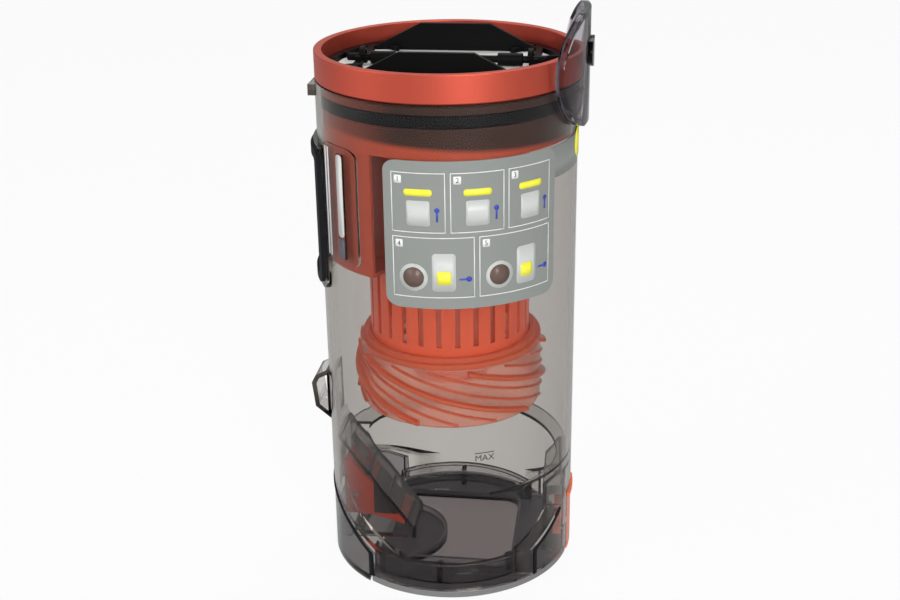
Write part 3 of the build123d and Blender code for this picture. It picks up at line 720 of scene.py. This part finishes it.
class DUSTBIN_OT_label(bpy.types.Operator):
    """Grey sticker with framed fields of plain shapes and numbers"""
    bl_idname = "dustbin.label"
    bl_label = "Label"

    def execute(self, context):
        paper = plain("label ground", colours().label, 0.35, PRINTED)
        let_lamps_through(paper, (0.8, 0.8, 0.8))
        coat("instruction_label", paper)
        low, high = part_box("instruction_label")
        foot = low.z / MM
        lines = bmesh.new()
        yellow = bmesh.new()
        blue = bmesh.new()
        pale = bmesh.new()
        brown = bmesh.new()
        fields = [(-36, 34, -13, 60), (-11, 34, 12, 60), (14, 34, 36, 60), (-36, 5, -1, 32), (1, 5, 36, 32)]
        for left, bottom, right, top in fields:
            outline(lines, left, foot + bottom, right, foot + top, 0.35)
            bar(lines, left + 1.4, foot + top - 4.8, left + 4.6, foot + top - 1.4, 0.4)
        for left, bottom, right, top in fields[:3]:
            middle = (left + right) / 2
            bar(pale, middle - 5, foot + bottom + 3, middle + 5, foot + bottom + 14, 1.0)
            bar(yellow, middle - 6, foot + bottom + 16, middle + 6, foot + bottom + 19, 1.2)
            dot(blue, middle + 8, foot + bottom + 10, 1.1)
            bar(blue, middle + 7.6, foot + bottom + 5, middle + 8.4, foot + bottom + 10)
        for left, bottom, right, top in fields[3:]:
            dot(pale, left + 9, foot + bottom + 9, 6.2)
            dot(brown, left + 9, foot + bottom + 9, 4.6)
            bar(pale, left + 17, foot + bottom + 3, left + 27, foot + bottom + 20, 1.6)
            bar(yellow, left + 19, foot + bottom + 6, left + 25, foot + bottom + 12, 1.0)
            bar(blue, left + 28.4, foot + bottom + 8, left + 32.4, foot + bottom + 8.8)
            dot(blue, left + 32.6, foot + bottom + 8.4, 1.2)
        tints = colours()
        body = body_of("instruction_label")
        tab = bmesh.new()
        bar(tab, 34.5, high.z / MM - 14.2, 66, high.z / MM - 0.1)
        wrap_print("label_tab", tab, paper, WALL, LABEL_TURN, body, 0.27 * MM)
        over = LABEL_FACE + sizes().print_lift
        layers = (("label_frames", lines, ink("print line", tints.label_line), LABEL_FACE),
                  ("label_pale", pale, ink("print pale", tints.label_pale), LABEL_FACE),
                  ("label_yellow", yellow, ink("print yellow", tints.label_yellow), over),
                  ("label_brown", brown, ink("print brown", tints.label_brown), over),
                  ("label_blue", blue, ink("print blue", tints.label_blue), over))
        for name, art, finish, radius in layers:
            wrap_print(name, art, finish, radius, LABEL_TURN, body)
        for index, field in enumerate(fields):
            digit = number_sheet(str(index + 1), field[0] + 3.0, foot + field[3] - 4.2, 2.2)
            wrap_print(f"label_number_{index + 1}", digit, ink("print dark", tints.black), over, LABEL_TURN,
                       body)
        return {"FINISHED"}


class DUSTBIN_OT_wall_marks(bpy.types.Operator):
    """Fill mark and plain yellow patches on the wall"""
    bl_idname = "dustbin.wall_marks"
    bl_label = "Wall marks"

    def execute(self, context):
        grey = plain("mark grey", (0.02, 0.02, 0.022), 0.6, PRINTED)
        body = body_of("container")
        turn = radians(22.4)
        letters = number_sheet("MAX", 0, 71.4, sizes().text_height / MM)
        wrap_print("fill_mark_letters", letters, grey, WALL, turn, body)
        line = bmesh.new()
        bar(line, -4.4, 75.1, 4.4, 75.5)
        wrap_print("fill_mark_line", line, grey, WALL, turn, body)
        yellow = plain("patch yellow", colours().label_yellow, 0.45, PRINTED)
        patch = bmesh.new()
        bar(patch, -16, 199, 16, 213, 6)
        wrap_print("patch_right", patch, yellow, WALL + 0.3 * MM, radians(95), body)
        patch = bmesh.new()
        bar(patch, -6, 38, 6, 48, 2)
        wrap_print("patch_left", patch, yellow, WALL, radians(-92), body)
        return {"FINISHED"}


class DUSTBIN_OT_port_strips(bpy.types.Operator):
    """Painted highlights: pale strips on the post and along the port's flange, standing in for lamp
    reflections, with a blue grey foot on the post's strip
    """
    bl_idname = "dustbin.port_strips"
    bl_label = "Port strips"

    def execute(self, context):
        pale = plain("painted highlight pale", colours().strip, 0.3, SATIN)
        dark = plain("painted highlight foot grey", colours().highlight_foot, 0.3, SATIN)
        body = body_of("container")
        post = 59.45 * MM
        panel = 58.52 * MM
        # Painted highlight on the post: a pale strip with a dimmer blue grey foot, standing in for a
        # reflection.
        strip = bmesh.new()
        bar(strip, -1.95, 171, 1.95, 208, 1.8)
        wrap_print("post_highlight", strip, pale, post, radians(-43), body, 0.2 * MM)
        foot = bmesh.new()
        bar(foot, -1.95, 161.2, 1.95, 170.4, 1.0)
        wrap_print("post_highlight_foot", foot, dark, post, radians(-43), body, 0.2 * MM)
        # Painted highlight along the port's flange, standing in for its lit edge.
        flange = bmesh.new()
        for left in (-2.0, 0.5):
            bar(flange, left, 159.5, left + 1.5, 209, 0.5)
        wrap_print("flange_highlights", flange, pale, panel, radians(-55), body, 0.15 * MM)
        return {"FINISHED"}


def strip_on_wall(seam, start, end, wide):
    """Adds a straight strip between two points of depth and height, flat in the side view."""
    run = Vector((0, end[0] - start[0], end[1] - start[1]))
    middle = Vector((0, (start[0] + end[0]) / 2, (start[1] + end[1]) / 2))
    lean = Matrix.Rotation(atan2(run.z, run.y), 4, "X")
    stand = Matrix.Rotation(radians(90), 4, "Y")
    spread = Matrix.Diagonal((1, run.length + 0.6 * wide, wide, 1))
    bmesh.ops.create_grid(seam, x_segments=1, y_segments=12, size=0.5,
                          matrix=Matrix.Translation(middle) @ lean @ spread @ stand)


def lay_on_wall(name, seam, side, material, body):
    """Presses a flat strip on one side of the wall and gives it thickness."""
    for vert in seam.verts:
        vert.co.x = side * sqrt(WALL ** 2 - min(abs(vert.co.y), 0.99 * WALL) ** 2)
    bmesh.ops.recalc_face_normals(seam, faces=seam.faces)
    item = piece(name, seam, material, body)
    thicken(item, 0.8 * MM, 0)


class DUSTBIN_OT_hinge_trim(bpy.types.Operator):
    """Dark seams along the hinge cover's arch, a dark strip of painted shade along the latch's rib, and ribs
    under the sloping plate
    """
    bl_idname = "dustbin.hinge_trim"
    bl_label = "Hinge trim"

    def execute(self, context):
        body = body_of("container")
        half = 48.1 * MM
        foot = 4.1 * MM
        shoulder = 15.5 * MM
        rise = 21.0 * MM
        radius = (half ** 2 + rise ** 2) / (2 * rise)
        middle = shoulder + rise - radius
        swing = atan2(half, shoulder - middle)
        wide = sizes().seam_width
        for side, name, dark in ((-1, "cover_seam_front", rubber()), (1, "cover_seam_back", lip_smoke())):
            seam = bmesh.new()
            first = seam.verts.new((0, 0, middle + radius - wide / 2))
            last = seam.verts.new((0, 0, middle + radius + wide / 2))
            edge = seam.edges.new((first, last))
            bmesh.ops.spin(seam, geom=[first, last, edge], cent=(0, 0, middle), axis=(1, 0, 0),
                           angle=-side * swing, steps=32)
            strip_on_wall(seam, (side * half, foot), (side * half, shoulder), wide)
            lay_on_wall(name, seam, -1, dark, body)
        # Painted shade: a dark strip on the wall stands in for the latch's clear rib looking dark when seen
        # edge-on.
        seam = bmesh.new()
        rib = -38 * MM
        knee = 17 * MM
        tip = (-20.8 * MM, 29.4 * MM)
        strip_on_wall(seam, (rib, foot), (rib, knee), wide)
        strip_on_wall(seam, (rib, knee), tip, wide)
        lay_on_wall("latch_rib_shade", seam, 1, rubber(), body)
        ribs = bmesh.new()
        slope = Matrix((SLOPE_DOWN, (0, 1, 0), SLOPE_NORMAL)).transposed().to_4x4()
        for run in (24, 40):
            spot = SLOPE_HEAD + SLOPE_DOWN * run * MM - SLOPE_NORMAL * 2.25 * MM
            spread = Matrix.Diagonal((2.0 * MM, 2 * POCKET_HALF - 4.0 * MM, 0.8 * MM, 1))
            bmesh.ops.create_cube(ribs, size=1, matrix=Matrix.Translation(spot) @ slope @ spread)
        item = piece("slope_ribs", ribs, rubber(), body)
        round_edges(item, 0.2 * MM)
        return {"FINISHED"}


class DUSTBIN_OT_ledge_edge(bpy.types.Operator):
    """Dark edge along the inside of the crescent ledge"""
    bl_idname = "dustbin.ledge_edge"
    bl_label = "Ledge edge"

    def execute(self, context):
        point = radians(20)
        shift = 7.0 * MM
        foot = 52.0
        edge = lathe(section(48.2, 48.55, foot + 0.1, foot + 1.5), 120, radians(226))
        start = Matrix.Rotation(point + radians(6) - pi / 2, 4, "Z")
        place = Matrix.Translation((shift * sin(point), -shift * cos(point), 0))
        edge.transform(place @ start)
        piece("ledge_edge", edge, rubber(), body_of("container"))
        return {"FINISHED"}


class DUSTBIN_OT_lever(bpy.types.Operator):
    """Smoke lever with rounded edges"""
    bl_idname = "dustbin.lever"
    bl_label = "Release lever"

    def execute(self, context):
        soften("release_lever", lever_smoke(), 0.5 * MM)
        return {"FINISHED"}


class DUSTBIN_OT_latches(bpy.types.Operator):
    """Orange lid button and red catch"""
    bl_idname = "dustbin.latches"
    bl_label = "Button and catch"

    def execute(self, context):
        orange = plain("button orange", colours().button, 0.3, SATIN)
        soften("release_button", orange, sizes().edge_round)
        soften("bin_catch", catch_red(), sizes().edge_round)
        return {"FINISHED"}


class DUSTBIN_OT_pins(bpy.types.Operator):
    """Steel pins and leaf springs"""
    bl_idname = "dustbin.pins"
    bl_label = "Pins and springs"

    def execute(self, context):
        steel = plain("steel", colours().steel, 0.28, (4000, 0.1, 0.02 * MM), Metallic=1.0)
        for node in ("hinge_pin", "button_pin", "lever_pin", "catch_pin", "catch_spring"):
            coat(node, steel)
        presses = (("button_spring", "button_press", 0.8), ("lever_spring", "lever_press", 0.65))
        for node, joint, keep in presses:
            leaf = soften(node, steel, 0.08 * MM)
            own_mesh(leaf)
        return {"FINISHED"}


def seen_by_lens(owner, clear=None):
    """One for camera and clear rays, part of one for mirror rays, zero for the rays that carry light."""
    path = add_node(owner, "LightPath").outputs
    mirror = add_node(owner, "Math", "MULTIPLY", {1: MIRROR_SHARE})
    owner.node_tree.links.new(path["Is Glossy Ray"], mirror.inputs[0])
    through = path["Is Transmission Ray"]
    if clear:
        through = combine(owner, "MULTIPLY", through, clear)
    direct = combine(owner, "MAXIMUM", path["Is Camera Ray"], mirror.outputs["Value"])
    return combine(owner, "MAXIMUM", direct, through)


def studio_world():
    """World that looks white and lights little, with a darker ceiling behind clear pieces."""
    world = bpy.data.worlds.new("studio")
    world.use_nodes = True
    nodes = world.node_tree.nodes
    links = world.node_tree.links
    dim = nodes["Background"]
    dim.inputs["Color"].default_value = WHITE
    dim.inputs["Strength"].default_value = 0.3
    white = add_node(world, "Background", values={"Color": WHITE, "Strength": 1.0})
    axes = place_axes(world)[1]
    heights = {"From Min": 0.1, "From Max": 0.5, "To Min": 1.0, "To Max": 0.1}
    ceiling = add_node(world, "MapRange", values=heights)
    links.new(axes["Z"], ceiling.inputs["Value"])
    seen = seen_by_lens(world, ceiling.outputs["Result"])
    look = mix_shaders(world, seen, dim.outputs["Background"], white.outputs["Background"])
    links.new(look, nodes["World Output"].inputs["Surface"])
    return world


def floor_paper():
    """Pale paper with a faint shadow, which lets camera and lamps reach a lid that hangs below it."""
    paper = plain("floor paper", (0.6, 0.6, 0.6), 0.9)
    nodes = paper.node_tree.nodes
    links = paper.node_tree.links
    path = add_node(paper, "LightPath").outputs
    side = add_node(paper, "NewGeometry").outputs
    glow = add_node(paper, "Emission", values={"Color": WHITE, "Strength": 1.0}).outputs["Emission"]
    open_view = add_node(paper, "BsdfTransparent").outputs["BSDF"]
    share = add_node(paper, "Math", "MULTIPLY", {1: BACKDROP_SHARE})
    links.new(seen_by_lens(paper), share.inputs[0])
    bright = mix_shaders(paper, path["Is Camera Ray"], glow, open_view)
    sheet = mix_shaders(paper, share.outputs["Value"], nodes["Principled BSDF"].outputs["BSDF"], bright)
    under = combine(paper, "MULTIPLY", path["Is Shadow Ray"], side["Backfacing"])
    links.new(mix_shaders(paper, under, sheet, open_view), nodes["Material Output"].inputs["Surface"])
    return paper


def soft_lamp(name, place, size, power):
    """Rectangular studio lamp turned towards the middle of the bin."""
    middle = Vector((0, 0, 0.13))
    light = bpy.data.lights.new(name, "AREA")
    light.shape = "RECTANGLE"
    light.size = size[0]
    light.size_y = size[1]
    light.energy = power
    lamp = bpy.data.objects.new(name, light)
    bpy.context.scene.collection.objects.link(lamp)
    lamp.location = place
    lamp.rotation_euler = (middle - Vector(place)).to_track_quat("-Z", "Y").to_euler()
    return lamp


def photo_camera():
    """Camera at the photograph's place and angle."""
    azimuth = radians(8)
    pitch = 0.3893
    roll = -0.0146
    place = Matrix.Translation((0.08416, -0.59885, 0.37388))
    camera = bpy.data.objects.new("camera", bpy.data.cameras.new("camera"))
    bpy.context.scene.collection.objects.link(camera)
    camera.data.lens = 55.85
    camera.data.sensor_width = 36
    camera.data.clip_start = 0.01
    ahead = Vector((-sin(azimuth), cos(azimuth), 0))
    right = Vector((cos(azimuth), sin(azimuth), 0))
    forward = ahead * cos(pitch) - Vector((0, 0, sin(pitch)))
    up = right.cross(forward)
    level = right * cos(roll) + up * sin(roll)
    upright = level.cross(forward)
    turn = Matrix((level, upright, -forward)).transposed()
    camera.matrix_world = place @ turn.to_4x4()
    return camera


class DUSTBIN_OT_stage(bpy.types.Operator):
    """White floor, soft studio light and the camera at the photograph's angle"""
    bl_idname = "dustbin.stage"
    bl_label = "Stage"

    def execute(self, context):
        scene = context.scene
        scene.view_settings.view_transform = "Standard"
        scene.world = studio_world()
        sheet = bmesh.new()
        below = Matrix.Translation((0, 0, -0.2 * MM))
        bmesh.ops.create_grid(sheet, x_segments=1, y_segments=1, size=6, matrix=below)
        mesh = bpy.data.meshes.new("floor")
        sheet.to_mesh(mesh)
        sheet.free()
        mesh.materials.append(floor_paper())
        floor = bpy.data.objects.new("floor", mesh)
        scene.collection.objects.link(floor)
        lamps = [soft_lamp("key lamp", (0.45, -1.1, 0.6), (0.5, 0.5), 12.5),
                 soft_lamp("fill lamp", (-0.95, -0.5, 0.6), (0.6, 0.8), 5),
                 soft_lamp("back lamp", (0.1, 0.6, 1.3), (0.8, 0.6), 7)]
        scene.camera = photo_camera()
        return {"FINISHED"}


STEPS = ("clear_walls", "top_ring", "cyclone", "skirt", "seals", "filter", "label", "wall_marks",
         "port_strips", "hinge_trim", "ledge_edge", "lever", "latches", "pins", "stage")


class DUSTBIN_PT_panel(bpy.types.Panel):
    """Lists the steps and settings of the dust bin"""
    bl_idname = "DUSTBIN_PT_panel"
    bl_label = "Dust bin"
    bl_space_type = "VIEW_3D"
    bl_region_type = "UI"
    bl_category = "Dust bin"

    def draw(self, context):
        column = self.layout.column()
        for step in STEPS:
            column.operator("dustbin." + step)
        for group in (context.scene.dust_bin_sizes, context.scene.dust_bin_colours):
            for name in group.__annotations__:
                column.prop(group, name)


CLASSES = (DustBinSizes, DustBinColours, DUSTBIN_OT_clear_walls, DUSTBIN_OT_top_ring, DUSTBIN_OT_cyclone,
           DUSTBIN_OT_skirt, DUSTBIN_OT_seals, DUSTBIN_OT_filter, DUSTBIN_OT_label, DUSTBIN_OT_wall_marks,
           DUSTBIN_OT_port_strips, DUSTBIN_OT_hinge_trim, DUSTBIN_OT_ledge_edge, DUSTBIN_OT_lever,
           DUSTBIN_OT_latches, DUSTBIN_OT_pins, DUSTBIN_OT_stage, DUSTBIN_PT_panel)


def register():
    """Adds the classes and the scene's settings."""
    for item in CLASSES:
        bpy.utils.register_class(item)
    bpy.types.Scene.dust_bin_sizes = PointerProperty(type=DustBinSizes)
    bpy.types.Scene.dust_bin_colours = PointerProperty(type=DustBinColours)


def unregister():
    """Removes the settings and the classes."""
    del bpy.types.Scene.dust_bin_colours
    del bpy.types.Scene.dust_bin_sizes
    for item in reversed(CLASSES):
        bpy.utils.unregister_class(item)


def main():
    """Builds the whole picture."""
    register()
    for step in STEPS:
        getattr(bpy.ops.dustbin, step)()


if __name__ == "__main__":
    main()
